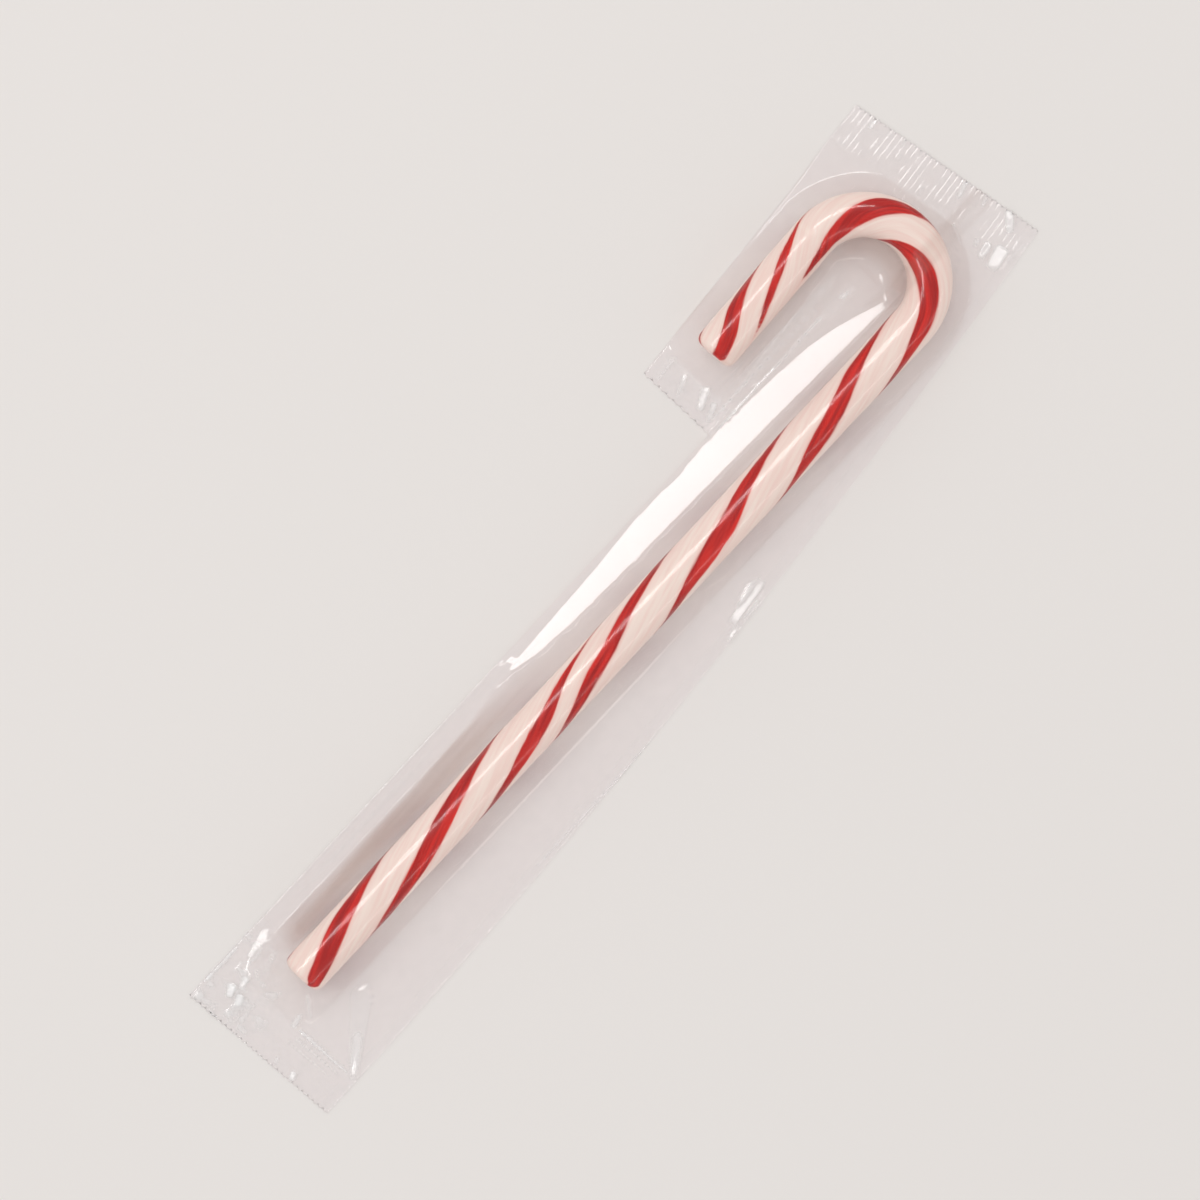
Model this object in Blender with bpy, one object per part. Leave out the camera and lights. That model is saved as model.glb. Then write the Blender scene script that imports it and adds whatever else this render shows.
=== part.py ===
"""A striped candy cane, lying flat in its clear sealed wrapper.

The cane is a round rod of twisted sugar: a straight shaft, a hook and a short straight tip.
The wrapper is the solid form of the filled bag: flat below, tented over the cane above, with
pressed seals at its top, at its foot and below the tip, and a trough in which the cane lies.

Plan coordinates: x is measured from the shaft's centre line, y from the shaft's cut end, both
towards the hook's outer side and top. The finished model is then centred on its own box.
"""

import math

import bmesh
import bpy
from mathutils import Matrix, Vector

MM = 0.001

# The cane
CANE_DIAMETER = 7.2 * MM
SHAFT_LENGTH = 138.6 * MM
HOOK_RADIUS = 10.3 * MM  # of the centre line
HOOK_TURN = math.radians(182.3)
TIP_LENGTH = 24.0 * MM
END_ROUNDING = 1.3 * MM

# Its twist: millimetres of rod for one turn of the stripes
SHAFT_PITCH = 67 * MM
HOOK_PITCH = 49 * MM
FIRST_STRIPE_TURN = math.radians(138)

# Columns of faces round the rod, as (colour, number of columns)
STRIPES = [("red", 4), ("white", 5), ("red", 4), ("white", 4), ("red", 3), ("white", 4)]
SHAFT_RING_STEP = 3.0 * MM
HOOK_RING_STEP = 2.0 * MM

# The wrapper, lying on z = 0
FILM_THICKNESS = 0.5 * MM  # both films of a margin, as one solid
TROUGH_FLOOR = 0.4 * MM
CLEARANCE = 0.3 * MM
CREST_DROP = 0.25 * MM  # of the film's ridge below the cane's top
POUCH_TOP = 162.8 * MM  # the top edge where it crosses the shaft's line
POUCH_FOOT = -13.9 * MM
TOP_SLOPE = 0.15  # rise of the top edge towards +x
FOOT_SLOPE = 0.045
RIGHT_EDGE_AT_FOOT = 17.6 * MM
RIGHT_EDGE_LEAN = -0.0758  # change of x for each unit of y
RIGHT_EDGE_BOW = 2.9 * MM  # how far its middle bows out
HOOK_EDGE_AT_SEAL = -25.4 * MM
HOOK_EDGE_LEAN = -0.079
SLEEVE_EDGE_AT_FOOT = -10.7 * MM
SLEEVE_EDGE_LEAN = -0.0068
HOOK_SEAL_FOOT = 104.7 * MM
SEAL_DEPTH = 5.3 * MM  # below the tip
TOP_SEAL_DEPTH = 7.1 * MM
TENT_FOOT = 6.4 * MM  # from the centre line to where the film meets the table
RIDGE_HALF_WIDTH = 1.5 * MM
WEB_SLOPE = 0.30  # fall of the film from the shaft to the left fold
WEB_SLOPE_AT_FOOT = 0.85
WEB_SAG = 1.6 * MM  # across the hook
WEB_EDGE_STEEPNESS = 3.0
FOOT_CREASE = -6.5 * MM
TOOTH_PITCH = 1.6 * MM
TOOTH_DEPTH = 0.7 * MM

RADIUS = CANE_DIAMETER / 2
TROUGH_RADIUS = RADIUS + CLEARANCE
AXIS_HEIGHT = TROUGH_FLOOR + TROUGH_RADIUS
CREST_HEIGHT = AXIS_HEIGHT + RADIUS - CREST_DROP
HOOK_LENGTH = HOOK_RADIUS * HOOK_TURN
CANE_LENGTH = SHAFT_LENGTH + HOOK_LENGTH + TIP_LENGTH
HOOK_CENTRE = Vector((-HOOK_RADIUS, SHAFT_LENGTH))


def clear_scene():
    for obj in list(bpy.data.objects):
        bpy.data.objects.remove(obj)


def make_material(name, color, roughness, alpha=1.0):
    material = bpy.data.materials.new(name)
    material.use_nodes = True
    shader = material.node_tree.nodes["Principled BSDF"]
    shader.inputs["Base Color"].default_value = (*color, 1.0)
    shader.inputs["Roughness"].default_value = roughness
    shader.inputs["Metallic"].default_value = 0.0
    shader.inputs["Alpha"].default_value = alpha
    material.diffuse_color = (*color, alpha)
    return material


def make_object(name, mesh_data, materials=()):
    """Turn a bmesh into a named object in the scene."""
    bmesh.ops.recalc_face_normals(mesh_data, faces=mesh_data.faces)
    mesh = bpy.data.meshes.new(name)
    mesh_data.to_mesh(mesh)
    mesh_data.free()
    obj = bpy.data.objects.new(name, mesh)
    bpy.context.collection.objects.link(obj)
    for material in materials:
        mesh.materials.append(material)
    return obj


# The cane's centre line


def path_at(distance):
    """Plan point and unit direction of the centre line, at a distance from the cut end."""
    if distance <= SHAFT_LENGTH:
        return Vector((0.0, distance)), Vector((0.0, 1.0))
    turn = min((distance - SHAFT_LENGTH) / HOOK_RADIUS, HOOK_TURN)
    outward = Vector((math.cos(turn), math.sin(turn)))
    direction = Vector((-outward.y, outward.x))
    past_hook = max(distance - SHAFT_LENGTH - HOOK_LENGTH, 0.0)
    return HOOK_CENTRE + HOOK_RADIUS * outward + past_hook * direction, direction


def twist_at(distance):
    """Angle that the stripes have turned through, at a distance from the cut end."""
    along_shaft = min(distance, SHAFT_LENGTH)
    along_hook = max(distance - SHAFT_LENGTH, 0.0)
    return FIRST_STRIPE_TURN - math.tau * (along_shaft / SHAFT_PITCH + along_hook / HOOK_PITCH)


def evenly(start, end, step):
    count = max(1, round((end - start) / step))
    return [start + (end - start) * i / count for i in range(count + 1)]


def ring_stations():
    """Distance and radius of each ring of the rod, rounded at both ends."""
    stations = []
    for share in (0.0, 0.5, 1.0):
        angle = share * math.pi / 2
        inset = END_ROUNDING * (1 - math.sin(angle))
        stations.append((END_ROUNDING * (1 - math.cos(angle)), RADIUS - inset))
    shaft = evenly(END_ROUNDING, SHAFT_LENGTH, SHAFT_RING_STEP)
    hook = evenly(SHAFT_LENGTH, CANE_LENGTH - END_ROUNDING, HOOK_RING_STEP)
    far_end = [(CANE_LENGTH - distance, radius) for distance, radius in reversed(stations)]
    middle = [(distance, RADIUS) for distance in shaft[1:] + hook[1:-1]]
    return stations + middle + far_end


def point_on_ring(distance, radius, angle):
    """A point of the rod's surface; the angle runs from straight up towards the outer side."""
    centre, direction = path_at(distance)
    outer = Vector((direction.y, -direction.x))
    plan = centre + radius * math.sin(angle) * outer
    return Vector((plan.x, plan.y, AXIS_HEIGHT + radius * math.cos(angle)))


def build_cane(red, white):
    """The rod, skinned in columns that follow the twist so that the stripes are exact."""
    columns = [colour for colour, width in STRIPES for _ in range(width)]
    count = len(columns)
    mesh_data = bmesh.new()
    rings = []
    for distance, radius in ring_stations():
        twist = twist_at(distance)
        angles = [twist + math.tau * i / count for i in range(count)]
        rings.append([mesh_data.verts.new(point_on_ring(distance, radius, a)) for a in angles])
    for lower, upper in zip(rings, rings[1:]):
        for i in range(count):
            j = (i + 1) % count
            face = mesh_data.faces.new((lower[i], lower[j], upper[j], upper[i]))
            face.material_index = 0 if columns[i] == "red" else 1
            face.smooth = True
    for ring in (rings[0], rings[-1]):
        mesh_data.faces.new(ring).material_index = 1
    return make_object("candy_cane", mesh_data, (red, white))


# The wrapper's form


def right_edge(y):
    share = (y - POUCH_FOOT) / (POUCH_TOP - POUCH_FOOT)
    bow = RIGHT_EDGE_BOW * 4 * share * (1 - share)
    return RIGHT_EDGE_AT_FOOT + RIGHT_EDGE_LEAN * (y - POUCH_FOOT) + bow


def sleeve_edge(y):
    return SLEEVE_EDGE_AT_FOOT + SLEEVE_EDGE_LEAN * (y - POUCH_FOOT)


def hook_edge(y):
    return HOOK_EDGE_AT_SEAL + HOOK_EDGE_LEAN * (y - HOOK_SEAL_FOOT)


def distance_to_segment(point, start, end):
    along = end - start
    share = max(0.0, min(1.0, (point - start).dot(along) / along.length_squared))
    return (point - start - share * along).length


def distance_to_cane(point):
    """Plan distance to the cane's centre line, which ends one radius inside each cut end."""
    shaft_start = path_at(RADIUS)[0]
    shaft_end = path_at(SHAFT_LENGTH)[0]
    tip_start = path_at(SHAFT_LENGTH + HOOK_LENGTH)[0]
    tip_end = path_at(CANE_LENGTH - RADIUS)[0]
    nearest = min(
        distance_to_segment(point, shaft_start, shaft_end),
        distance_to_segment(point, tip_start, tip_end),
    )
    spoke = point - HOOK_CENTRE
    if spoke.y > 0:
        nearest = min(nearest, abs(spoke.length - HOOK_RADIUS))
    return nearest


def ease(low, high, value):
    share = max(0.0, min(1.0, (value - low) / (high - low)))
    return share * share * (3 - 2 * share)


def web_height(x, y):
    """Film held up between the shaft and the wrapper's left fold, and across the hook."""
    slope = WEB_SLOPE_AT_FOOT + (WEB_SLOPE - WEB_SLOPE_AT_FOOT) * ease(20 * MM, 70 * MM, y)
    beside_shaft = CREST_HEIGHT - slope * max(0.0, -x - RIDGE_HALF_WIDTH)
    share = max(0.0, min(1.0, -x / (2 * HOOK_RADIUS)))
    across_hook = CREST_HEIGHT - WEB_SAG * math.sin(math.pi * share)
    return beside_shaft + (across_hook - beside_shaft) * ease(104 * MM, 120 * MM, y)


def beyond_web(x, y):
    """How far a point lies outside the film's raised web, in plan."""
    fold = sleeve_edge(y) + 0.8 * MM
    web_end = fold + (-2 * HOOK_RADIUS - fold) * ease(110 * MM, 119 * MM, y)
    beyond = max(0.0, web_end - x, x)
    if y > SHAFT_LENGTH:
        beyond = max(beyond, (Vector((x, y)) - HOOK_CENTRE).length - HOOK_RADIUS)
    return beyond


def film_height(x, y):
    """Height of the upper film over the table."""
    rise = CREST_HEIGHT - FILM_THICKNESS
    steepness = rise / (TENT_FOOT - RIDGE_HALF_WIDTH)
    past_ridge = max(0.0, distance_to_cane(Vector((x, y))) - RIDGE_HALF_WIDTH)
    tent = CREST_HEIGHT - steepness * past_ridge
    web = web_height(x, y) - WEB_EDGE_STEEPNESS * beyond_web(x, y)
    over_foot = FILM_THICKNESS + max(0.0, y - FOOT_CREASE) * rise / -FOOT_CREASE
    return max(FILM_THICKNESS, min(over_foot, max(tent, web)))


def spread(start, end, count):
    return [start + (end - start) * i / count for i in range(count + 1)]


def pouch_rows():
    """Heights in y, along the shaft's line, of the rows of the bag's upper skin."""
    foot = [POUCH_FOOT, FOOT_CREASE, -3.0 * MM]
    sleeve = spread(0.0, HOOK_SEAL_FOOT, 14)
    seal_line = HOOK_SEAL_FOOT + SEAL_DEPTH
    hook = spread(seal_line, POUCH_TOP - TOP_SEAL_DEPTH, 24)
    return foot + sleeve + hook + [POUCH_TOP]


def row_slope(y):
    """Rows lie level along the sleeve and tilt into the slanted ends."""
    if y < 0:
        return FOOT_SLOPE * ease(0.0, POUCH_FOOT, y)
    return TOP_SLOPE * ease(SHAFT_LENGTH, POUCH_TOP, y)


def row_points(y, with_hook_side):
    """One row of the skin, from its left edge to its right."""
    fold = sleeve_edge(y)
    right = right_edge(y)
    columns = [fold, fold + 0.9 * MM]
    columns += spread(-8.2 * MM, 2.4 * MM, 5)
    columns += [4.0 * MM, min(TENT_FOOT, right - 0.8 * MM), right]
    if with_hook_side:
        columns = spread(hook_edge(y), fold, 8)[:-1] + columns
    slope = row_slope(y)
    points = []
    for x in columns:
        row_y = y + slope * x
        points.append(Vector((x, row_y, film_height(x, row_y))))
    return points


def build_bag_body(material):
    """The bag without its trough: a tented skin, closed by flat sides and a flat underside."""
    mesh_data = bmesh.new()
    below = None
    for y in pouch_rows():
        beside_hook = y >= HOOK_SEAL_FOOT - 0.01 * MM
        row = [mesh_data.verts.new(p) for p in row_points(y, beside_hook)]
        if below:
            width = min(len(row), len(below))
            pairs = zip(below[-width:], row[-width:])
            lower_and_upper = list(pairs)
            for (a, d), (b, c) in zip(lower_and_upper, lower_and_upper[1:]):
                mesh_data.faces.new((a, b, c, d))
        below = row
    extruded = bmesh.ops.extrude_face_region(mesh_data, geom=list(mesh_data.faces))
    underside = [e for e in extruded["geom"] if isinstance(e, bmesh.types.BMVert)]
    for vert in underside:
        vert.co.z = 0.0
    flat_edges = [e for e in mesh_data.edges if all(v.co.z == 0.0 for v in e.verts)]
    bmesh.ops.dissolve_limit(
        mesh_data, angle_limit=math.radians(0.5), verts=underside, edges=flat_edges
    )
    return make_object("wrapper", mesh_data, (material,))


def trough_section():
    """Half-round below the cane's centre, straight sides above it."""
    top = AXIS_HEIGHT + RADIUS + 2 * MM
    points = [(-TROUGH_RADIUS, top)]
    for i in range(9):
        angle = math.pi * i / 8
        points.append((-TROUGH_RADIUS * math.cos(angle), AXIS_HEIGHT - TROUGH_RADIUS * math.sin(angle)))
    points.append((TROUGH_RADIUS, top))
    return points


def build_trough_cutter():
    """The room that the cane takes up, open upwards."""
    start = -CLEARANCE
    end = CANE_LENGTH + CLEARANCE
    hook_end = SHAFT_LENGTH + HOOK_LENGTH
    stations = [start] + spread(SHAFT_LENGTH, hook_end, 18) + [end]
    mesh_data = bmesh.new()
    rings = []
    for distance in stations:
        centre, direction = path_at(distance)
        outer = Vector((direction.y, -direction.x))
        ring = []
        for across, height in trough_section():
            plan = centre + across * outer
            ring.append(mesh_data.verts.new((plan.x, plan.y, height)))
        rings.append(ring)
    count = len(rings[0])
    for lower, upper in zip(rings, rings[1:]):
        for i in range(count):
            j = (i + 1) % count
            mesh_data.faces.new((lower[i], lower[j], upper[j], upper[i]))
    mesh_data.faces.new(rings[0])
    mesh_data.faces.new(rings[-1])
    return make_object("trough_cutter", mesh_data)


def build_tooth_cutter(name, start, end, outward, overrun=1):
    """A zigzag blade along one end of the bag, half a tooth past each free corner."""
    along = end - start
    count = round(along.length / TOOTH_PITCH)
    outline = []
    for i in range(-1, 2 * count + 1 + overrun):
        point = start + along * i / (2 * count)
        if i % 2:
            point = point - outward * TOOTH_DEPTH
        outline.append(point)
    outline.append(outline[-1] + outward * 3 * MM)
    outline.append(outline[0] + outward * 3 * MM)
    mesh_data = bmesh.new()
    bottom = [mesh_data.verts.new((p.x, p.y, -MM)) for p in outline]
    top = [mesh_data.verts.new((p.x, p.y, 2 * MM)) for p in outline]
    count = len(outline)
    mesh_data.faces.new(bottom)
    mesh_data.faces.new(top)
    for i in range(count):
        j = (i + 1) % count
        mesh_data.faces.new((bottom[i], bottom[j], top[j], top[i]))
    return make_object(name, mesh_data)


def edge_point(x, y, slope):
    return Vector((x, y + slope * x))


def build_tooth_cutters():
    """Blades for the top seal, the foot seal and the seal below the tip."""
    top_left = edge_point(hook_edge(POUCH_TOP), POUCH_TOP, TOP_SLOPE)
    top_right = edge_point(right_edge(POUCH_TOP), POUCH_TOP, TOP_SLOPE)
    foot_left = edge_point(sleeve_edge(POUCH_FOOT), POUCH_FOOT, FOOT_SLOPE)
    foot_right = edge_point(right_edge(POUCH_FOOT), POUCH_FOOT, FOOT_SLOPE)
    tip_left = Vector((hook_edge(HOOK_SEAL_FOOT), HOOK_SEAL_FOOT))
    tip_right = Vector((sleeve_edge(HOOK_SEAL_FOOT) - TOOTH_PITCH, HOOK_SEAL_FOOT))
    up = Vector((0.0, 1.0))
    return [
        build_tooth_cutter("top_teeth_cutter", top_left, top_right, up),
        build_tooth_cutter("foot_teeth_cutter", foot_left, foot_right, -up),
        build_tooth_cutter("tip_teeth_cutter", tip_left, tip_right, -up, overrun=0),
    ]


def cut(obj, cutter):
    cutter.hide_render = True
    cutter.display_type = "WIRE"
    modifier = obj.modifiers.new(cutter.name, "BOOLEAN")
    modifier.operation = "DIFFERENCE"
    modifier.solver = "EXACT"
    modifier.object = cutter


def centre_on_origin(bodies, cutters):
    """Shift every mesh so that the model's box stands centred on the origin.

    The teeth keep their points on the bag's own outline, so the uncut meshes give the same box.
    """
    corners = [vert.co for obj in bodies for vert in obj.data.vertices]
    low = Vector([min(c[i] for c in corners) for i in range(3)])
    high = Vector([max(c[i] for c in corners) for i in range(3)])
    shift = Vector((-(low.x + high.x) / 2, -(low.y + high.y) / 2, -low.z))
    for obj in bodies + cutters:
        obj.data.transform(Matrix.Translation(shift))


def main():
    clear_scene()
    red = make_material("candy_red", (0.55, 0.012, 0.012), 0.25)
    white = make_material("candy_white", (0.86, 0.80, 0.72), 0.3)
    film = make_material("clear_film", (0.92, 0.92, 0.92), 0.12, alpha=0.35)
    cane = build_cane(red, white)
    wrapper = build_bag_body(film)
    cutters = [build_trough_cutter()] + build_tooth_cutters()
    for cutter in cutters:
        cut(wrapper, cutter)
    centre_on_origin([cane, wrapper], cutters)


main()
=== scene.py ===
import math

import bmesh
import bpy
import numpy as np
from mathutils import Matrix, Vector, noise

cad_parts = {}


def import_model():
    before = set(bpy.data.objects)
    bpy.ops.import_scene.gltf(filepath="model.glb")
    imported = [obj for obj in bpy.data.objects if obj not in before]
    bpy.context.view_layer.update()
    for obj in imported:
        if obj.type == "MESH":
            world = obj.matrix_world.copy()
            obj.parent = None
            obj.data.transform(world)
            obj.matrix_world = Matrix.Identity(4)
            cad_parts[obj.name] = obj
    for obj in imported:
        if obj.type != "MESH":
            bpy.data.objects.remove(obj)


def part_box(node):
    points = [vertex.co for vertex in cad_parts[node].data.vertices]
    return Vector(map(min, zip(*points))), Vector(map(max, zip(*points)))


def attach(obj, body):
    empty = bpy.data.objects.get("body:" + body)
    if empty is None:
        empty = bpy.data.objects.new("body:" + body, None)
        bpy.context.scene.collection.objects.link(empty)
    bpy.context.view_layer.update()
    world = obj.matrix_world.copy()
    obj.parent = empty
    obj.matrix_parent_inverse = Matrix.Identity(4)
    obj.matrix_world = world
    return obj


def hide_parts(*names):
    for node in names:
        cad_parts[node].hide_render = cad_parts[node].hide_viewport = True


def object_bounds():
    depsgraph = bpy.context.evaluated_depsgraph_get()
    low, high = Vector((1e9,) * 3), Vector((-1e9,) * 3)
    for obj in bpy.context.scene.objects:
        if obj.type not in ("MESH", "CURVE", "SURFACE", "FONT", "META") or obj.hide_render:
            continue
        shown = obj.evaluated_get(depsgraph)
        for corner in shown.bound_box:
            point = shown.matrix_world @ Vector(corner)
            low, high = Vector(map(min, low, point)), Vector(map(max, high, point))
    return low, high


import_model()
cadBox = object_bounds()
bpy.ops.object.select_all(action="DESELECT")
mm = 0.001
print("frame loaded")

# Sizes are in millimetres. Plan places count from the shaft's centre line (x) and its cut end (y).
caneLow, caneHigh = (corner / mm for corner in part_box("candy_cane"))

cane = {
    "radius": 3.6,
    "shaft": 138.6,
    "hookRadius": 10.3,
    "hookTurn": 182.3,  # degrees
    "tip": 24.0,
    "endRounding": 1.3,
    "endStep": 1.6,  # the rod's first and last ring, which the rounding has to fit in
    "ringStep": 0.7,
    "sides": 96,
    "flute": 0.05,  # how deep the pulled sugar is ribbed
    "lumps": 0.06,
    "shrink": 0.04,  # keeps the lumps within the rod's size
    "whites": ((0.90, 0.69, 0.62), (0.93, 0.79, 0.71)),
    "bled": (0.90, 0.50, 0.43),  # pink in the white beside a band
    "reds": ((0.36, 0.004, 0.003), (0.68, 0.016, 0.009)),
    # painted shade: a darker red for the rod's sides, where they turn from the light
    "redShadedAtSides": (0.28, 0.012, 0.010),
    # each red band, read at places along the rod: millimetres from the cut end, degrees round from
    # the top (they run on from turn to turn) and how many degrees the band covers there
    "bands": [
        [(0, 42, 46), (7, 0, 52), (10, -19, 52), (16, -48, 40), (58, -297, 34), (64, -338, 38),
         (70, -360, 36), (76, -393, 32), (133, -660, 26), (139, -696, 44), (144, -720, 54),
         (149, -742, 58), (153, -763, 44), (157, -785, 22), (180, -1002, 14), (183, -1012, 30),
         (187, -1038, 46), (189, -1057, 46), (191.3, -1080, 44), (195.4, -1102, 38)],
        [(0, 148, 40), (22, 44, 44), (31.4, 0, 48), (40, -42, 40), (46, -70, 28), (85, -318, 32),
         (91, -338, 48), (97.5, -360, 48), (103, -393, 38), (108, -414, 28), (150, -628, 14),
         (154.8, -648, 34), (157, -669, 50), (159, -687, 54), (161, -703, 60), (163, -720, 60),
         (165, -735, 54), (167, -750, 52), (170, -762, 42), (173.6, -768, 26), (177, -776, 10),
         (181, -792, 5), (193.6, -1003, 20), (196, -1020, 20)],
        [(0, 282, 40), (46, 42, 28), (49, 29, 36), (52, 16, 38), (56, 0, 34), (62, -37, 20),
         (66, -55, 12), (109, -300, 24), (112, -317, 38), (115, -330, 44), (118, -340, 44),
         (122.2, -360, 44), (126, -385, 44), (130, -406, 34), (135, -430, 22), (169.6, -640, 12),
         (173.6, -676, 18), (177, -698, 26), (182.6, -733, 20), (185.6, -754, 16), (188, -776, 10),
         (196, -840, 6)],
    ],
}
shaftX = caneHigh.x - cane["radius"]
footY = caneLow.y
axisZ = caneHigh.z - cane["radius"]
hookCentre = Vector((-cane["hookRadius"], cane["shaft"]))
hookTurn = math.radians(cane["hookTurn"])
hookLength = cane["hookRadius"] * hookTurn
tipOutward = np.array((math.cos(hookTurn), math.sin(hookTurn)))
tipWay = np.array((-tipOutward[1], tipOutward[0]))  # along the tip, towards its end


def world(x, y, z):
    # a plan place in millimetres as a point of the frame, in metres
    return Vector(((x + shaftX) * mm, (y + footY) * mm, z * mm))


def ease(low, high, value):
    # 0 at low and 1 at high, eased between; low may be above high
    share = np.clip((value - low) / (high - low), 0, 1)
    return share * share * (3 - 2 * share)


# Shader maths: a socket that + - * and ** work on


class Wire:
    def __init__(self, paint, socket):
        self.paint = paint
        self.socket = socket

    def maths(self, operation, *values):
        return self.paint.node("ShaderNodeMath", {"operation": operation}, dict(enumerate(values)))

    def __add__(self, other):
        return self.maths("ADD", self, other)

    def __sub__(self, other):
        return self.maths("SUBTRACT", self, other)

    def __rsub__(self, other):
        return self.maths("SUBTRACT", other, self)

    def __mul__(self, other):
        return self.maths("MULTIPLY", self, other)

    def __pow__(self, other):
        return self.maths("POWER", self, other)

    def rising(self, low, high):
        # 0 below low, 1 above high, eased between
        settings = {"interpolation_type": "SMOOTHSTEP"}
        values = {"Value": self, "From Min": low, "From Max": high}
        return self.paint.node("ShaderNodeMapRange", settings, values)

    __radd__ = __add__
    __rmul__ = __mul__


class Paint:
    def __init__(self, name):
        self.material = bpy.data.materials.new(name)
        self.material.use_nodes = True
        self.tree = self.material.node_tree
        self.tree.nodes.clear()

    def node(self, kind, settings=None, inputs=None, output=0):
        made = self.tree.nodes.new(kind)
        for name, value in (settings or {}).items():
            setattr(made, name, value)
        for name, value in (inputs or {}).items():
            if isinstance(value, Wire):
                self.tree.links.new(value.socket, made.inputs[name])
            else:
                made.inputs[name].default_value = value
        return Wire(self, made.outputs[output])

    def attribute(self, name, output="Fac"):
        return self.node("ShaderNodeAttribute", {"attribute_name": name}, output=output)

    def place(self):
        return self.node("ShaderNodeTexCoord", output="Object")

    def clouds(self, vector, scale, detail=2.0, roughness=0.5):
        values = {"Vector": vector, "Scale": scale, "Detail": detail, "Roughness": roughness}
        return self.node("ShaderNodeTexNoise", None, values)

    def blend(self, factor, first, second):
        # two colours mixed
        made = self.tree.nodes.new("ShaderNodeMix")
        made.data_type = "RGBA"
        for socket, value in zip((made.inputs[0], made.inputs[6], made.inputs[7]), (factor, first, second)):
            if isinstance(value, Wire):
                self.tree.links.new(value.socket, socket)
            else:
                socket.default_value = value if isinstance(value, float) else (*value, 1.0)
        return Wire(self, made.outputs[2])

    def bump(self, height, distance, strength=1.0):
        values = {"Height": height, "Distance": distance, "Strength": strength}
        return self.node("ShaderNodeBump", None, values)

    def finish(self, shader):
        target = self.tree.nodes.new("ShaderNodeOutputMaterial")
        self.tree.links.new(shader.socket, target.inputs["Surface"])
        return self.material


# Places on a mesh, and what is stored with them


def readPlaces(mesh):
    places = np.zeros(len(mesh.vertices) * 3)
    mesh.vertices.foreach_get("co", places)
    return places.reshape(-1, 3)


def toPlan(places):
    return places / mm - np.array((shaftX, footY, 0))


def toFrame(plan):
    return (plan + np.array((shaftX, footY, 0))) * mm


def storeNumbers(mesh, name, values):
    mesh.attributes.new(name, "FLOAT", "POINT").data.foreach_set("value", values.astype(np.float32))


def storeVectors(mesh, name, values):
    made = mesh.attributes.new(name, "FLOAT_VECTOR", "POINT")
    made.data.foreach_set("vector", values.astype(np.float32).ravel())


def roughField(points, scale, seed):
    # smooth noise between about -1 and 1, the same each run
    shift = Vector((seed * 7.3, seed * 3.1, seed * 5.7))
    return np.array([noise.noise(Vector(p) * scale + shift) for p in points])


def fromHookCentre(x, y):
    return np.hypot(x - hookCentre.x, y - hookCentre.y)


def fromTipStart(x, y):
    # distances across and along the tip, counted from the centre line where the hook ends
    away = np.stack([x, y], 1) - np.array(hookCentre) - cane["hookRadius"] * tipOutward
    return away @ tipOutward, away @ tipWay


# The cane, in its own coordinates


def alongAndRound(places):
    # distance along the rod, angle round it (0 on top, + towards the outer side) and distance off its axis
    x, y, z = places[:, 0], places[:, 1], places[:, 2]
    turn = np.arctan2(y - hookCentre.y, x - hookCentre.x)
    turn = np.where(turn < -math.pi / 2, turn + math.tau, turn)
    onShaft = (y <= cane["shaft"]) & (x > hookCentre.x)
    onHook = ~onShaft & (turn <= hookTurn + 1e-6)
    acrossTip, alongTip = fromTipStart(x, y)
    along = np.where(onShaft, y, cane["shaft"] + cane["hookRadius"] * turn)
    along = np.where(onShaft | onHook, along, cane["shaft"] + hookLength + alongTip)
    across = np.where(onShaft, x, fromHookCentre(x, y) - cane["hookRadius"])
    across = np.where(onShaft | onHook, across, acrossTip)
    return along, np.arctan2(across, z - axisZ), np.hypot(across, z - axisZ)


def bandPlace(band, along):
    # a band's angle and width in degrees, with the bends between its places softened
    places, angles, widths = np.array(band, float).T
    shifts = (-1.2, -0.4, 0.4, 1.2)
    angle = sum(np.interp(along + shift, places, angles) for shift in shifts) / len(shifts)
    return angle, sum(np.interp(along + shift, places, widths) for shift in shifts) / len(shifts)


def insideBands(along, angle, off):
    # millimetres inside the nearest red band, negative outside
    deepest = np.full(len(along), -9.0)
    degrees = np.degrees(angle)
    down = np.abs(degrees)
    # the bands thin out where the rod turns away, and are wide again underneath
    onFlank = ease(45, 84, down) * ease(104, 90, down)
    halfWidth = 0.5 - 0.22 * onFlank + 0.1 * ease(92, 125, down)
    for band in cane["bands"]:
        centre, width = bandPlace(band, along)
        width = width - 14 * ease(13, 7, width)  # a very narrow band closes
        apart = np.abs((degrees - centre + 180) % 360 - 180)
        deepest = np.maximum(deepest, np.radians(width * halfWidth - apart) * off)
    return deepest


def selectWhere(obj, test):
    # in edit mode: selects the vertices whose plan place passes
    shape = bmesh.from_edit_mesh(obj.data)
    shape.select_mode = {"VERT"}
    for vert in shape.verts:
        place = obj.matrix_world @ vert.co
        vert.select = test(Vector((place.x / mm - shaftX, place.y / mm - footY, place.z / mm)))
    shape.select_flush_mode()
    bmesh.update_edit_mesh(obj.data)


def evenStep(length):
    # the count and size of the rings that fill a length
    count = round(length / cane["ringStep"])
    return count, length / count


def roundEnd(obj, end, way):
    # closes a cut end, rounds its rim and fills it with rings, so that colours can follow it
    reach = cane["radius"] + 1.4
    selectWhere(obj, lambda p: abs((p.xy - end).dot(way)) < 0.05 and (p.xy - end).length < reach)
    bpy.ops.mesh.edge_face_add()
    bpy.ops.mesh.bevel(
        offset=cane["endRounding"] * mm, segments=7, profile=0.5, affect="EDGES", clamp_overlap=False
    )
    selectWhere(obj, lambda p: abs((p.xy - end).dot(way)) < 0.01 and (p.xy - end).length < reach)
    for _ in range(4):
        bpy.ops.mesh.inset(thickness=0.5 * mm)
    bpy.ops.mesh.poke()


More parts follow.
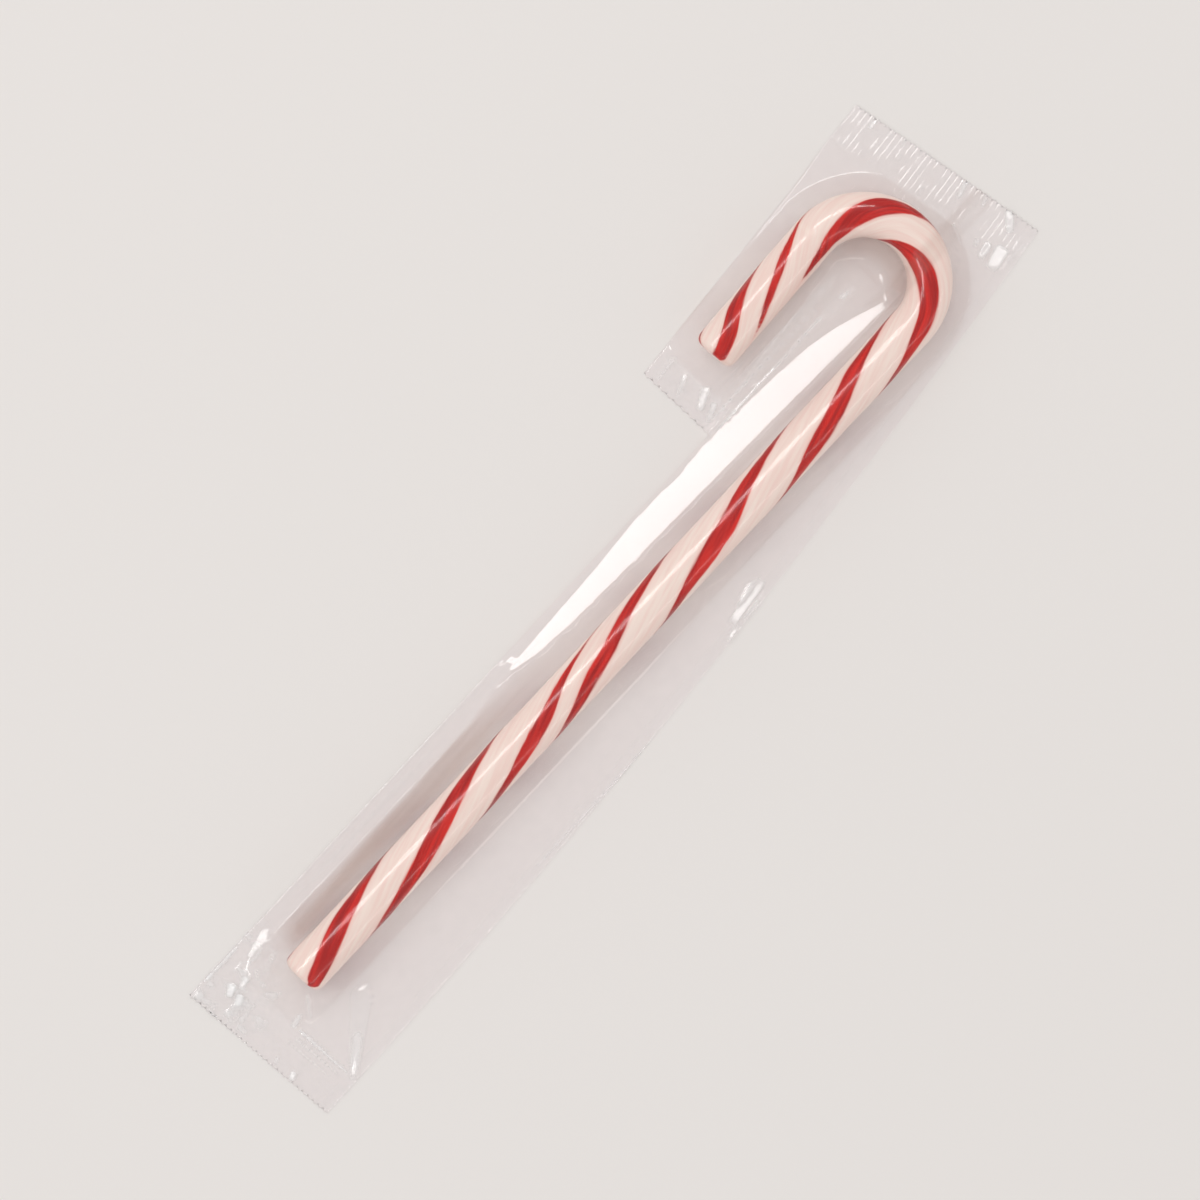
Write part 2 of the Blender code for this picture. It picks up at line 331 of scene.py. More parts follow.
def buildCane():
    endStep = cane["endStep"]
    bpy.ops.mesh.primitive_circle_add(
        vertices=cane["sides"],
        radius=cane["radius"] * mm,
        location=world(0, 0, axisZ),
        rotation=(math.pi / 2, 0, 0),
    )
    obj = bpy.context.object
    obj.name = obj.data.name = "candyRod"
    bpy.ops.object.transform_apply(location=True, rotation=True, scale=True)
    bpy.ops.object.mode_set(mode="EDIT")
    bpy.ops.mesh.select_all(action="SELECT")
    count, step = evenStep(cane["shaft"] - endStep)
    for length in [endStep] + [step] * count:
        bpy.ops.mesh.extrude_region_move(TRANSFORM_OT_translate={"value": (0, length * mm, 0)})
    bpy.ops.mesh.spin(
        steps=round(hookLength / cane["ringStep"]),
        angle=-hookTurn,
        center=world(hookCentre.x, hookCentre.y, axisZ),
        axis=(0, 0, 1),
    )
    count, step = evenStep(cane["tip"] - endStep)
    for length in [step] * count + [endStep]:
        bpy.ops.mesh.extrude_region_move(
            TRANSFORM_OT_translate={"value": Vector((*tipWay, 0)) * length * mm}
        )
    bpy.ops.mesh.select_all(action="SELECT")
    bpy.ops.mesh.remove_doubles(threshold=0.00001)
    tipEnd = hookCentre + cane["hookRadius"] * Vector(tipOutward) + Vector(tipWay) * cane["tip"]
    roundEnd(obj, Vector((0, 0)), Vector((0, -1)))
    roundEnd(obj, tipEnd, Vector(tipWay))
    bpy.ops.mesh.select_all(action="SELECT")
    bpy.ops.mesh.normals_make_consistent(inside=False)
    bpy.ops.object.mode_set(mode="OBJECT")
    bpy.ops.object.shade_smooth()
    return obj


def shapeCane(obj):
    # pulled sugar: faint ribs along the twist, slow lumps, and the values that its colours follow
    mesh = obj.data
    plan = toPlan(readPlaces(mesh))
    along, angle, off = alongAndRound(plan)
    turned = angle - np.radians(bandPlace(cane["bands"][0], along)[0])
    grain = np.stack([np.cos(turned) * off, np.sin(turned) * off, along / 14], 1)
    storeVectors(mesh, "grain", grain)
    depth = insideBands(along, angle, off) - 0.8 * ease(1.1, 0.1, along)
    storeNumbers(mesh, "redDepth", depth)
    storeNumbers(mesh, "offAxis", off / cane["radius"])
    # painted shade: how far round from the top, for darkening the red at the sides
    storeNumbers(mesh, "sideShade", ease(40, 80, np.abs(np.degrees(angle))))
    relief = cane["flute"] * roughField(grain, 0.9, 1) + cane["lumps"] * roughField(plan, 0.11, 2)
    relief = (relief - cane["shrink"]) * np.clip(off / cane["radius"], 0, 1) ** 2
    # each place moves straight off the rod's centre line
    turn = np.clip((along - cane["shaft"]) / cane["hookRadius"], 0, hookTurn)
    outer = np.stack([np.cos(turn), np.sin(turn)], 1)
    centre = np.stack([plan[:, 0], plan[:, 1], np.full(len(plan), axisZ)], 1)
    centre[:, :2] -= (np.sin(angle) * off)[:, None] * outer
    plan = centre + (plan - centre) * (1 + relief / np.maximum(off, 0.5))[:, None]
    mesh.vertices.foreach_set("co", toFrame(plan).ravel())
    mesh.update()


def candyPaint():
    paint = Paint("twistedSugar")
    grain = paint.attribute("grain", "Vector")
    streaks = paint.clouds(grain, 1.5, 3.0, 0.6)
    fine = paint.clouds(grain, 5.0, 2.0, 0.5)
    sideShade = paint.attribute("sideShade")
    depth = paint.attribute("redDepth") + (fine - 0.5) * 0.45
    core = paint.attribute("offAxis").rising(0.35, 0.62)  # the cut ends are white in the middle
    red = depth.rising(-0.16, 0.18) * core
    flush = depth.rising(-0.75, 0.1)
    white = paint.blend(streaks.rising(0.3, 0.7), *cane["whites"])
    white = paint.blend(flush * 0.5, white, cane["bled"])
    redColour = paint.blend(streaks.rising(0.3, 0.7), *cane["reds"])
    # painted shade: the red darkens towards the rod's sides
    redColour = paint.blend(sideShade * 0.7, redColour, cane["redShadedAtSides"])
    shader = paint.node(
        "ShaderNodeBsdfPrincipled",
        None,
        {
            "Base Color": paint.blend(red, white, redColour),
            "Roughness": 0.26 + streaks * 0.1,
            "Normal": paint.bump(streaks * 0.6 + fine * 0.4, 0.00008, 0.5),
            "IOR": 1.45,
            "Specular IOR Level": 0.2,
        },
    )
    return paint.finish(shader)


rod = buildCane()
shapeCane(rod)
rod.data.materials.append(candyPaint())
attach(rod, "root")
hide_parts("candy_cane")
print("cane:", len(rod.data.polygons), "faces")

# The wrapper: a flat grid cut to the bag's outline, given its two films, then raised over the cane

film = {
    "top": 162.8,  # the outline, as plan places
    "foot": -13.9,
    "topSlope": 0.15,
    "footSlope": 0.045,
    "rightAtFoot": 17.6,
    "rightLean": -0.0758,
    "rightBow": 2.9,
    "hookAtSeal": -25.4,
    "hookLean": -0.079,
    "sleeveAtFoot": -10.7,
    "sleeveLean": -0.0068,
    "tipSeal": 104.7,
    "tipSealDepth": 5.3,
    "topSealDepth": 7.1,
    "footCrease": -6.5,
    "toothDepth": 0.6,
    "tentFoot": 6.4,  # where the film meets the floor beside the shaft
    "overCane": 0.08,  # air between the film and the sugar
    "rest": 0.08,  # the lower film off the floor
    "apart": 0.07,  # the films in a seal
    "outerAngle": 61,  # degrees that the film falls from the rod, away from the hook
    "hookAngle": 38,  # and inside the hook
    "glintTilt": 0.268,  # the slope that mirrors the main light
    "sideTilt": 0.577,  # the slope that mirrors the side light
    "ribRise": 0.155,
    "edgeBand": 1.9,
    # grid columns between the film's own lines, hook side first, and whether they crowd at the ends
    "columns": [(36, False), (6, False), (12, True), (6, False), (38, False), (12, False), (34, False)],
    # grid rows: from, to, how many
    "rows": [
        (-13.9, -6.5, 30),
        (-6.5, 4.0, 26),
        (4.0, 56.0, 60),
        (56.0, 104.7, 58),
        (104.7, 110.0, 20),
        (110.0, 155.7, 86),
        (155.7, 162.8, 28),
    ],
    # how much each part of the bag is crumpled, rippled lengthways and clouded
    "crumpled": {"top": 0.05, "foot": 0.05, "tip": 0.12, "corner": 0.22, "hook": 0.04},
    "rippled": {"sleeve": 0.4, "hook": 0.15},
    "clouded": {"top": 0.06, "foot": 0.06, "tip": 0.09, "corner": 0.12, "hook": 0.03},
    "cloud": (0.93, 0.92, 0.92),
    "tan": (0.46, 0.29, 0.23),  # painted shade: a warm brown laid into the film beside the rod and inside the hook, for the rod's shadow and its warm bounce
    # small folds: from x, y to x, y, width at each end, whitening and painted glint, and millimetres
    # between their breaks (0 for none, -1 for a soft fold)
    "creases": [
        (7.8, 5.6, 16.2, -5.4, 3.6, 1.6, 0.2, -1),
        (12.4, -0.4, 17.0, -6.4, 1.3, 1.3, 0.2, 0),
        (-1.4, 162.6, 1.2, 159.9, 1.4, 1.0, 0.45, 0),
        (-5.5, 162.0, -4.7, 159.8, 0.8, 0.5, 0.25, 0),
        (-9.3, 161.2, -8.4, 158.4, 0.9, 0.6, 0.35, 0),
        (-17.6, 159.9, -17.0, 158.4, 0.7, 0.4, 0.15, 0),
        (-20.6, 159.6, -20.2, 158.0, 0.6, 0.4, 0.15, 0),
        (-26.3, 159.2, -25.9, 156.8, 1.1, 0.8, 0.25, 0),
        (-0.1, 156.6, 0.5, 153.9, 1.3, 1.2, 0.35, 0),
        (1.9, 157.7, 3.0, 153.6, 2.3, 1.8, 0.35, 0),
        (-1.9, 155.9, -1.2, 154.6, 0.8, 0.6, 0.3, 0),
        (4.2, 160.4, 4.0, 156.4, 0.5, 0.4, 0.1, 0),
        (-13.8, 155.9, -13.0, 154.4, 1.0, 0.6, 0.15, 0),
        (-19.8, 157.2, -19.2, 156.0, 0.8, 0.5, 0.15, 0),
        (-6.4, 154.9, -3.2, 153.4, 0.6, 0.5, 0.2, 0),
        (-12.8, 131.5, -12.6, 104.9, 0.6, 0.5, 0.2, 1.7),
        (-11.2, 131.0, -11.0, 106.0, 0.6, 0.45, 0.25, 1.5),
        (-10.9, 134.2, -10.1, 139.0, 0.6, 0.5, 0.35, 0),
        (-14.2, 128.0, -13.9, 114.0, 0.6, 0.4, 0.12, 1.3),
        (-15.6, 122.0, -15.2, 112.0, 0.5, 0.4, 0.1, 0),
        (-16.8, 110.0, -15.0, 106.6, 1.5, 1.0, 0.3, 0),
        (-14.2, 109.2, -12.9, 106.2, 1.0, 0.7, 0.3, 0),
        (-20.5, 109.5, -19.2, 106.0, 1.0, 0.6, 0.2, 0),
        (-23.6, 110.4, -23.2, 105.4, 0.7, 0.5, 0.2, 1.1),
        (9.0, 93.0, 9.9, 88.6, 1.3, 0.9, 0.2, 0),
        (9.9, 94.3, 11.3, 85.4, 2.0, 1.3, 0.3, 0),
        (11.8, 92.0, 12.5, 87.4, 0.8, 0.9, 0.2, 0),
        (12.0, 86.4, 12.9, 83.2, 1.3, 0.8, 0.2, 0),
        (14.6, 72.0, 15.1, 36.0, 0.5, 0.4, 0.3, 2.3),
        (5.4, -6.35, 15.8, -6.1, 0.7, 0.5, 0.6, 1.1),
        (5.6, -7.7, 15.0, -7.3, 0.4, 0.3, 0.25, 0.8),
        (5.0, -8.9, 14.4, -8.5, 0.4, 0.3, 0.2, 0.8),
        (2.6, -1.2, 5.6, -4.0, 0.7, 0.6, 0.25, 0),
        (4.0, -4.4, 4.5, -6.8, 0.8, 0.8, 0.4, 0),
        (9.4, -11.6, 9.9, -13.0, 0.9, 0.9, 0.5, 0),
        (6.0, -11.7, 6.4, -12.6, 0.6, 0.5, 0.3, 0),
        (-7.0, -8.2, -6.0, -10.2, 1.5, 1.0, 0.5, 0),
        (-4.9, -8.6, -4.2, -10.3, 1.2, 1.0, 0.45, 0),
        (-6.2, -6.0, -5.4, -8.0, 0.9, 0.8, 0.35, 0),
        (-8.9, 1.6, -7.4, -3.8, 1.8, 1.6, 0.15, 0),
        (-5.6, 0.4, -4.6, -3.4, 1.0, 0.9, 0.12, 0),
        (-10.4, -3.6, -10.5, -11.2, 0.6, 0.5, 0.45, 2.2),
    ],
}
sealTop = film["tipSeal"] + film["tipSealDepth"]
pressed = film["rest"] + film["apart"]  # the upper film's height where the bag is flat


def rightEdge(y):
    share = (y - film["foot"]) / (film["top"] - film["foot"])
    bow = film["rightBow"] * 4 * share * (1 - share)
    return film["rightAtFoot"] + film["rightLean"] * (y - film["foot"]) + bow


def sleeveEdge(y):
    return film["sleeveAtFoot"] + film["sleeveLean"] * (y - film["foot"])


def hookEdge(y):
    return film["hookAtSeal"] + film["hookLean"] * (y - film["tipSeal"])


def topSealLine(x):
    return film["top"] - film["topSealDepth"] + film["topSlope"] * x


def streakRight(y):
    # the crease nearer the shaft
    places = [0, 40, 56, 61, 68, 85, 105, 125, 136, 160]
    return np.interp(y, places, [-5.6, -7.2, -8.9, -7.7, -6.9, -6.2, -5.7, -5.2, -5.0, -5.0])


def streakLeft(y):
    # the outer crease bows out and comes back to the hook
    places = [0, 40, 56, 61, 68, 78, 88, 97, 105, 117, 125, 130, 134, 137, 139.4, 143, 150]
    bow = [-8.4, -9.2, -9.1, -9.4, -9.7, -10.1, -10.9, -11.1, -10.9]
    bow += [-10.3, -9.6, -8.6, -7.3, -6.2, -5.4, -5.6, -8.0]
    return np.minimum(np.interp(y, places, bow), streakRight(y) - 0.3)


def webFoot(y):
    # the height that the web comes down to at the sleeve's left fold
    return np.interp(y, [50, 62, 85, 104], [0.3, 1.2, 2.2, 2.4])


def innerAngle(y):
    # degrees that the film falls from the shaft towards the hook's side
    return np.interp(y, [0, 42, 66], [52, 52, 38])


def drape(off, degrees, facet=0.0):
    # film over the rod, then straight down at an angle; a facet lies flat along the rod's top, where
    # it mirrors the main light
    reach = cane["radius"] + film["overCane"]
    angle = np.radians(degrees)
    leave = reach * np.sin(angle)
    onRod = axisZ + np.sqrt(np.maximum(reach**2 - np.minimum(off, leave) ** 2, 0))
    tilt = math.atan(film["glintTilt"])
    flat = axisZ + (reach - facet - off * math.sin(tilt)) / math.cos(tilt)
    onRod = np.where(np.asarray(facet) > 0, np.minimum(onRod, flat), onRod)
    return onRod - np.maximum(off - leave, 0) * np.tan(angle)


def overShaft(x, y, facet):
    pastShaft = np.maximum(y - cane["shaft"], 0)
    outside = drape(np.hypot(x, pastShaft), film["outerAngle"])
    # an apron, sloped to mirror the side light, keeps the film's foot straight beside the shaft
    apronFoot = film["tentFoot"] + 0.3 + 0.7 * ease(18, 30, y) * ease(90, 70, y)
    apron = pressed + film["sideTilt"] * (apronFoot - x) - 6 * ease(128, 142, y)
    height = np.where(x < 0, drape(-x, innerAngle(y), facet), outside)
    height = np.where(x > 0, np.maximum(height, apron), height)
    # let down to the crease at the foot; past the shaft's end the hook takes over
    height = pressed + (height - pressed) * np.clip((y - film["footCrease"]) / 6.9, 0, 1)
    return np.where((x < 0) & (y > cane["shaft"]), pressed, height)


def overHook(x, y):
    spoke = fromHookCentre(x, y)
    off = np.abs(spoke - cane["hookRadius"])
    inside = drape(off, film["hookAngle"])
    height = np.where(spoke < cane["hookRadius"], inside, drape(off, film["outerAngle"]))
    return np.where(y > hookCentre.y, height, pressed)


def overTip(x, y, facet):
    across, down = fromTipStart(x, y)
    inside = drape(-across, film["hookAngle"], facet)
    height = np.where(across < 0, inside, drape(across, film["outerAngle"]))
    height = pressed + (height - pressed) * np.clip((y - sealTop) / 4.8, 0, 1)
    return np.where((down > 0) & (x < -8), height, pressed)


def tentHeight(x, y):
    # film over the shaft, the hook and the tip, let down to the pressed ends
    wander = roughField(np.stack([y, 0 * y, 0 * y], -1), 0.22, 9)
    facet = 0.002 + 0.022 * ease(-0.3, 0.4, wander)  # the glint along the rod comes and goes
    height = np.maximum(np.maximum(overShaft(x, y, facet), overTip(x, y, facet)), overHook(x, y))
    return np.minimum(height, pressed + np.maximum(topSealLine(x) - y, 0) * 2.8)


def webHeight(x, y):
    # the flat facet beside the shaft that mirrors the light, and the film from there to the sleeve's
    # fold or to the hook's inside
    right, left, sleeve = streakRight(y), streakLeft(y), sleeveEdge(y)
    crease = drape(-right, innerAngle(y))
    facet = crease - film["glintTilt"] * (right - x)
    leftHeight = crease - film["glintTilt"] * (right - left)
    side = leftHeight + (x - left) * (leftHeight - webFoot(y)) / np.maximum(left - sleeve, 0.4)
    valley = leftHeight + (x - left) * 0.05
    side = side + (valley - side) * ease(103, 113, y)
    web = np.where(x < left, side, facet) - 8 * ease(137.5, 149, y) - 3 * ease(57, 50, y)
    web = np.where((x < right) & (x > -15) & (y > 46), web, pressed)
    # beyond the sleeve the web only spans the hook, above the tip's seal
    beyond = (x < sleeve) & (y < sealTop + 6)
    return np.where(beyond, pressed + (web - pressed) * ease(109, 116, y), web)


def upperFilm(x, y):
    # the film's parts joined, with a small fillet where they meet the pressed film
    height = np.maximum(tentHeight(x, y), webHeight(x, y))
    fillet = np.where((x > 0) & (y > 0), 0.5, 0.2)
    overlap = np.maximum(fillet - np.abs(height - pressed), 0)
    return np.maximum(height, pressed) + overlap**2 / (4 * fillet)


def creaseAt(x, y, crease):
    # a small fold whose left flank mirrors the main light: its rise, and how white its flank is, stress
    # whitening with a painted glint on top
    x0, y0, x1, y1, width0, width1, whiteness, pitch = crease
    length = math.hypot(x1 - x0, y1 - y0)
    along = np.array((x1 - x0, y1 - y0)) / length
    across = np.array((-along[1], along[0]))
    across = across * (1 if across[0] > 0 else -1)
    distance = (x - x0) * along[0] + (y - y0) * along[1]
    aside = (x - x0) * across[0] + (y - y0) * across[1]
    share = distance / length
    ends = np.clip(np.minimum(share, 1 - share) / 0.12, 0, 1) ** 0.5
    width = (width0 + (width1 - width0) * np.clip(share, 0, 1)) * ends
    if pitch > 0:
        width = width * (0.45 + 0.55 * np.cos(math.pi * distance / pitch) ** 2)
    softness = 0.55 if pitch < 0 else 1  # a soft fold is too shallow to glint
    tilt = film["glintTilt"] / max(across[0], 0.6) * softness
    rise = np.maximum(np.minimum(aside + width / 2, 2 * (width - aside)), 0) * tilt
    flank = np.clip((width / 2 + 0.15 - np.abs(aside)) / 0.3, 0, 1) * np.clip(width * 4, 0, 1)
    return rise, flank * whiteness


def spread(low, high, count, crowdEnds=False):
    # count places from low up to high, without high
    share = np.arange(count) / count
    if crowdEnds:
        share = 0.5 - 0.5 * np.cos(np.pi * share)
    return low + (high - low) * share


def columnPlaces(y):
    right = rightEdge(y)
    tent = min(film["tentFoot"], right - 0.8)
    rodSide = cane["radius"] + 0.3
    lines = [hookEdge(y), sleeveEdge(y) - 0.01, streakLeft(y), streakRight(y)]
    lines += [-rodSide, min(rodSide, tent - 1), tent, right]
    places = [spread(low, high, *columns) for low, high, columns in zip(lines, lines[1:], film["columns"])]
    return np.concatenate(places + [[right]])


def cutTipRoom(obj, tipRow, hookColumns):
    # the room under the tip isn't part of the bag
    bpy.ops.object.mode_set(mode="EDIT")
    shape = bmesh.from_edit_mesh(obj.data)
    rowLayer = shape.verts.layers.float["row"]
    columnLayer = shape.verts.layers.float["column"]
    shape.select_mode = {"FACE"}
    for face in shape.faces:
        low = min(v[rowLayer] for v in face.verts) < tipRow - 0.5
        left = min(v[columnLayer] for v in face.verts) < hookColumns - 0.5
        face.select = low and left
    shape.select_flush_mode()
    bmesh.update_edit_mesh(obj.data)
    bpy.ops.mesh.delete(type="FACE")
    bpy.ops.object.mode_set(mode="OBJECT")


def evenEnds(table, rows, firstKept):
    # an even spacing at the cut ends, so that their teeth are even
    for line, y, first in zip(table, rows, firstKept):
        share = max(ease(film["footCrease"], film["foot"], y), ease(148, 156, y))
        kept = line[first:]
        kept += (np.linspace(kept[0], kept[-1], len(kept)) - kept) * share


def buildFilm():
    rows = np.concatenate([spread(*band) for band in film["rows"]] + [[film["top"]]])
    counts = [count for count, crowdEnds in film["columns"]]
    across, down, hookColumns = sum(counts), len(rows) - 1, counts[0]
    tipRow = int(np.argmin(np.abs(rows - film["tipSeal"])))
    bpy.ops.mesh.primitive_grid_add(x_subdivisions=across, y_subdivisions=down, size=2)
    obj = bpy.context.object
    obj.name = obj.data.name = "wrapperFilm"
    places = readPlaces(obj.data)
    column = np.rint((places[:, 0] + 1) / 2 * across).astype(int)
    row = np.rint((places[:, 1] + 1) / 2 * down).astype(int)
    table = np.array([columnPlaces(y) for y in rows])
    evenEnds(table, rows, np.where(np.arange(down + 1) < tipRow, hookColumns, 0))
    x = table[row, column]
    y = rows[row]
    # the slanted ends, and the teeth of their cuts
    atFoot = film["footSlope"] * ease(0, film["foot"], y)
    atTop = film["topSlope"] * ease(140, film["top"] - 6, y)
    y = y + np.where(y < 0, atFoot, atTop) * x
    tooth = np.abs((column % 4) / 2 - 1)
    cutUp = (row == 0) | ((row == tipRow) & (column < hookColumns))
    y = y + film["toothDepth"] * tooth * (cutUp * 1.0 - (row == down))
    for name, values in (("row", row), ("column", column), ("rib", 1 - tooth)):
        storeNumbers(obj.data, name, values)
    plan = np.stack([x, y, np.zeros(len(x))], 1)
    obj.data.vertices.foreach_set("co", toFrame(plan).ravel())
    obj.data.update()
    cutTipRoom(obj, tipRow, hookColumns)
    solid = obj.modifiers.new("films", "SOLIDIFY")
    solid.thickness = 0.1 * mm
    solid.offset = -1
    solid.use_rim = True
    bpy.ops.object.modifier_apply(modifier="films")
    raiseFilm(obj)
    bpy.ops.object.shade_smooth()
    return obj


def filmParts(x, y):
    # how far each place lies in the parts of the bag that are creased
    inFoot = ease(-5.6, -7.0, y)
    return {
        "top": ease(-0.6, 0.8, y - topSealLine(x)),
        "foot": inFoot,
        "tip": ease(110.4, 109.4, y) * (x < sleeveEdge(y) + 0.6) * (y > 104),
        "corner": ease(4, -2, y) * ease(4, -3, x),
        "sleeve": ease(-7.5, -8.5, x) * ease(60, 45, y) * (1 - inFoot),
        "hook": ease(-9.8, -10.6, x) * ease(-17, -15, x) * ease(106, 112, y) * ease(140, 132, y),
    }


def inParts(parts, amounts):
    return sum(parts[name] * amount for name, amount in amounts.items())


def filmHazeAndFoldHighlight(x, y, parts, crumple, ripple):
    hazeAndPaintedLight = (0.02 + inParts(parts, film["clouded"])) * (1 + 0.9 * crumple)
    hazeAndPaintedLight = hazeAndPaintedLight + 0.06 * (rightEdge(y) - x < film["edgeBand"])
    hazeAndPaintedLight = hazeAndPaintedLight + 0.2 * parts["corner"] * ease(0.1, 0.6, crumple)
    hazeAndPaintedLight = hazeAndPaintedLight + 0.1 * parts["hook"] * ease(0, 0.5, ripple)
    # painted highlight: whiter at the sleeve's fold and along its ripples, for the light bands there
    sleeve = 0.12 * ease(-10.3, -11, x + 0.6 * ripple) + 0.08 * ease(0, 0.4, ripple)
    return hazeAndPaintedLight + parts["sleeve"] * sleeve


def paintedFilmShade(x, y, ripple, offFacet):
    # painted shade: the film beside the shaft and inside the hook is clouded warm brown, for the rod's
    # shadow and warm bounce
    besideShaft = ease(-8, -7, x + 0.8 * ripple) * ease(-3.6, -4.6, x) * ease(1, 6, y) * offFacet
    spoke = fromHookCentre(x, y)
    insideHook = ease(2.6, 5.4, spoke) * ease(6.9, 6.4, spoke) * ease(137, 142, y)
    return besideShaft * (0.1 + 0.2 * ease(60, 40, y)) * (0.8 + 0.9 * ripple) + 0.22 * insideHook


def raiseFilm(obj):
    # lifts the upper film over the cane, creases it, and bends the lower film up to the sleeve's fold
    mesh = obj.data
    plan = toPlan(readPlaces(mesh))
    upper = plan[:, 2] > -0.05
    x, y = plan[:, 0], plan[:, 1]
    rib = np.zeros(len(x))
    mesh.attributes["rib"].data.foreach_get("value", rib)
    height = upperFilm(x, y)
    overCane = ease(6.2, 6.9, height)
    offFacet = 1 - ((x < streakRight(y) + 0.2) & (x > streakLeft(y) - 0.2) & (y > 55) & (y < 141))
    parts = filmParts(x, y)
    flat = plan * np.array((1, 1, 0))
    crumple = roughField(flat, 0.5, 4) + 0.5 * roughField(flat, 1.1, 5)
    ripple = roughField(flat * np.array((1, 0.06, 1)), 0.8, 6)
    lift = 0.03 * roughField(flat, 0.2, 3) * offFacet * ease(0.3, 2, height)
    lift = lift + 0.012 * overCane * roughField(flat * np.array((1, 0.45, 1)), 0.55, 8)
    lift = lift + crumple * inParts(parts, film["crumpled"]) + ripple * inParts(parts, film["rippled"])
    ribs = film["ribRise"] * rib * ease(-0.45, 0.1, roughField(flat, 0.35, 7))
    lift = lift + ribs * (parts["top"] + 0.5 * parts["tip"])
    hazeAndPaintedLight = filmHazeAndFoldHighlight(x, y, parts, crumple, ripple)
    for crease in film["creases"]:
        rise, white = creaseAt(x, y, crease)
        lift = np.where(rise > 0.02, np.maximum(lift, rise), lift)
        # the flank's whitening and painted glint go into the haze
        hazeAndPaintedLight = hazeAndPaintedLight + white
    lift = np.maximum(lift, -0.03)
    # the sleeve's left fold: both films close to half of its height
    fold = np.interp(y, [-6, 20, 50, 85, 104], [0.15, 0.5, 0.9, 2.2, 2.4])
    inward = x - sleeveEdge(y)
    nearFold = (y < film["tipSeal"]) & (inward < 4)
    lower = film["rest"] + np.where(nearFold, 0.45 * fold * np.clip(1 - inward / 3, 0, 1) ** 2, 0)
    closing = np.where(nearFold, 0.5 * fold * np.clip(1 - inward / 0.5, 0, 1), 0)
    top = np.maximum(height + lift - closing, lower + film["apart"])
    plan[:, 2] = np.where(upper, top, lower)
    mesh.vertices.foreach_set("co", toFrame(plan).ravel())
    hazeAndPaintedLight = np.where(upper, hazeAndPaintedLight * (1 - 0.8 * overCane), 0.4 * hazeAndPaintedLight)
    # painted shade: the warm brown beside the rod and inside the hook, mixed into the haze
    tan = np.clip(np.where(upper, paintedFilmShade(x, y, ripple, offFacet), 0), 0, 0.5)
    storeNumbers(mesh, "hazeAndPaintedLight", np.clip(hazeAndPaintedLight + tan, 0.003, 0.8))
    storeNumbers(mesh, "tan", tan / np.maximum(hazeAndPaintedLight + tan, 0.003))
    # film that clings to the sugar shines less
    storeNumbers(mesh, "gloss", 0.036 - 0.018 * overCane)
    mesh.update()


def filmPaint():
    paint = Paint("clearFilm")
    facing = paint.node("ShaderNodeLayerWeight", None, {"Blend": 0.5}, "Facing")
    mirror = paint.attribute("gloss") + facing**5.0 * 0.9
    through = paint.node("ShaderNodeBsdfTransparent", None, {"Color": (1.0, 0.99, 0.993, 1)})
    sheen = paint.node("ShaderNodeBsdfGlossy", None, {"Color": (1, 1, 1, 1), "Roughness": 0.08})
    clear = paint.node("ShaderNodeMixShader", None, {0: mirror, 1: through, 2: sheen})
    # painted shade: the cloud turns warm brown by the tan share
    cloud = paint.blend(paint.attribute("tan"), film["cloud"], film["tan"])
    cloudyAndPaintedLight = paint.node("ShaderNodeBsdfPrincipled", None, {"Base Color": cloud, "Roughness": 0.5})
    # the film's milky haze, which also carries the painted shade, painted glints and the painted fold
    # highlight
    shader = paint.node("ShaderNodeMixShader", None, {0: paint.attribute("hazeAndPaintedLight"), 1: clear, 2: cloudyAndPaintedLight})
    return paint.finish(shader)


bag = buildFilm()
bag.data.materials.append(filmPaint())
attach(bag, "root")
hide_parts("wrapper")
print("wrapper:", len(bag.data.polygons), "faces")

studio = {
    "roll": 43.2,  # degrees that the shaft leans in the picture
    "lens": 200,
    "sensor": 36,
    "across": 187,  # millimetres that the picture shows
    "ambient": 0.82,
    "skyColour": (1.0, 0.99, 0.98),
    "paper": ((0.826, 0.795, 0.774), (0.836, 0.805, 0.784)),
    "stripLength": 1400,
    "glintDistance": 900,
    "softDistance": 1035,  # further off, since lights in one place hide each other's glint
}


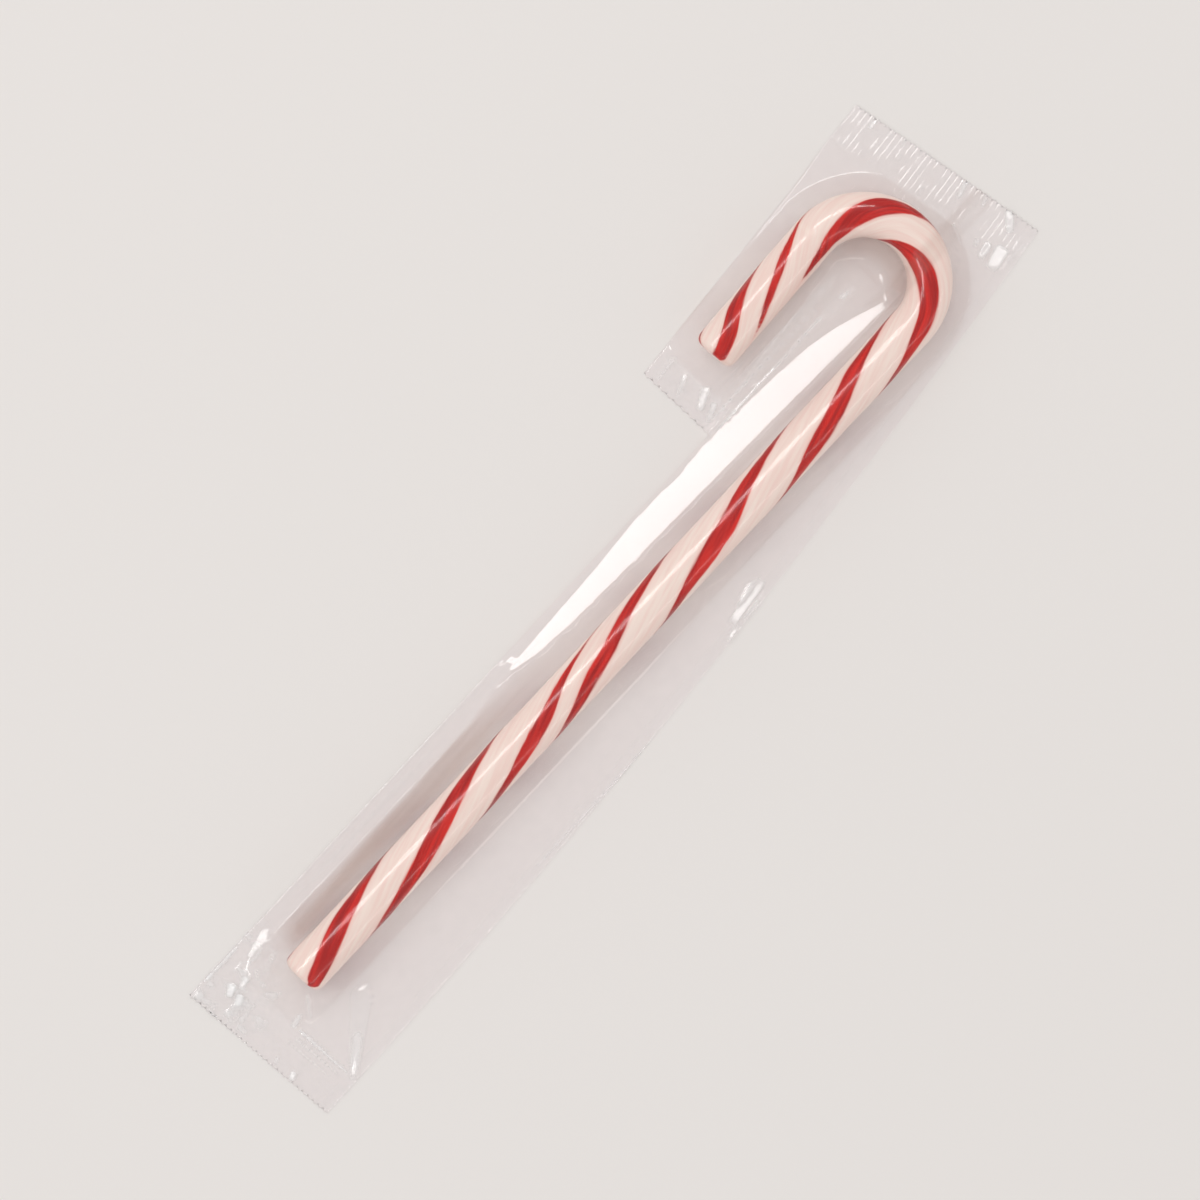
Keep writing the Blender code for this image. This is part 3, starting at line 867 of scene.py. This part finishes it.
def addStrip(name, lean, width, watts, colour, glint):
    # a long light beside the cane, lean degrees from overhead; a glint light shows only in reflections
    away = studio["glintDistance" if glint else "softDistance"] * mm
    angle = math.radians(lean)
    bpy.ops.object.light_add(
        type="AREA",
        location=(away * math.sin(angle), 0, away * math.cos(angle)),
        rotation=(0, angle, 0),
    )
    light = bpy.context.object
    light.name = name
    light.data.shape = "RECTANGLE"
    light.data.size = width * mm
    light.data.size_y = studio["stripLength"] * mm
    light.data.energy = watts
    light.data.color = colour
    light.visible_diffuse = not glint
    light.visible_glossy = glint


def buildFloor():
    bpy.ops.mesh.primitive_plane_add(size=6)
    floor = bpy.context.object
    floor.name = "floor"
    paint = Paint("palePaper")
    colour = paint.blend(paint.clouds(paint.place(), 6.0, 2.0), *studio["paper"])
    values = {"Base Color": colour, "Roughness": 0.9, "Specular IOR Level": 0.1}
    floor.data.materials.append(paint.finish(paint.node("ShaderNodeBsdfPrincipled", None, values)))


def buildLights():
    room = bpy.data.worlds.new("room")
    bpy.context.scene.world = room
    room.use_nodes = True
    sky = room.node_tree.nodes["Background"]
    sky.inputs["Color"].default_value = (*studio["skyColour"], 1)
    sky.inputs["Strength"].default_value = studio["ambient"]
    addStrip("softKey", -30, 560, 2.0, (1, 0.99, 0.98), False)
    addStrip("mainGlint", -30, 170, 7.2, (1, 0.99, 0.98), True)
    addStrip("sideGlint", 60, 150, 2.0, (1, 0.98, 0.96), True)


def buildCamera():
    # straight above the middle of the part
    halfAngle = math.atan(studio["sensor"] / 2 / studio["lens"])
    middle = (cadBox[0] + cadBox[1]) / 2
    bpy.ops.object.camera_add(
        location=(middle.x, middle.y, studio["across"] * mm / 2 / math.tan(halfAngle)),
        rotation=(0, 0, math.radians(studio["roll"])),
    )
    camera = bpy.context.object
    camera.data.lens = studio["lens"]
    camera.data.sensor_width = studio["sensor"]
    camera.data.clip_start = 0.01
    bpy.context.scene.camera = camera
    bpy.context.scene.view_settings.view_transform = "Standard"


buildFloor()
buildLights()
buildCamera()
print("studio ready")
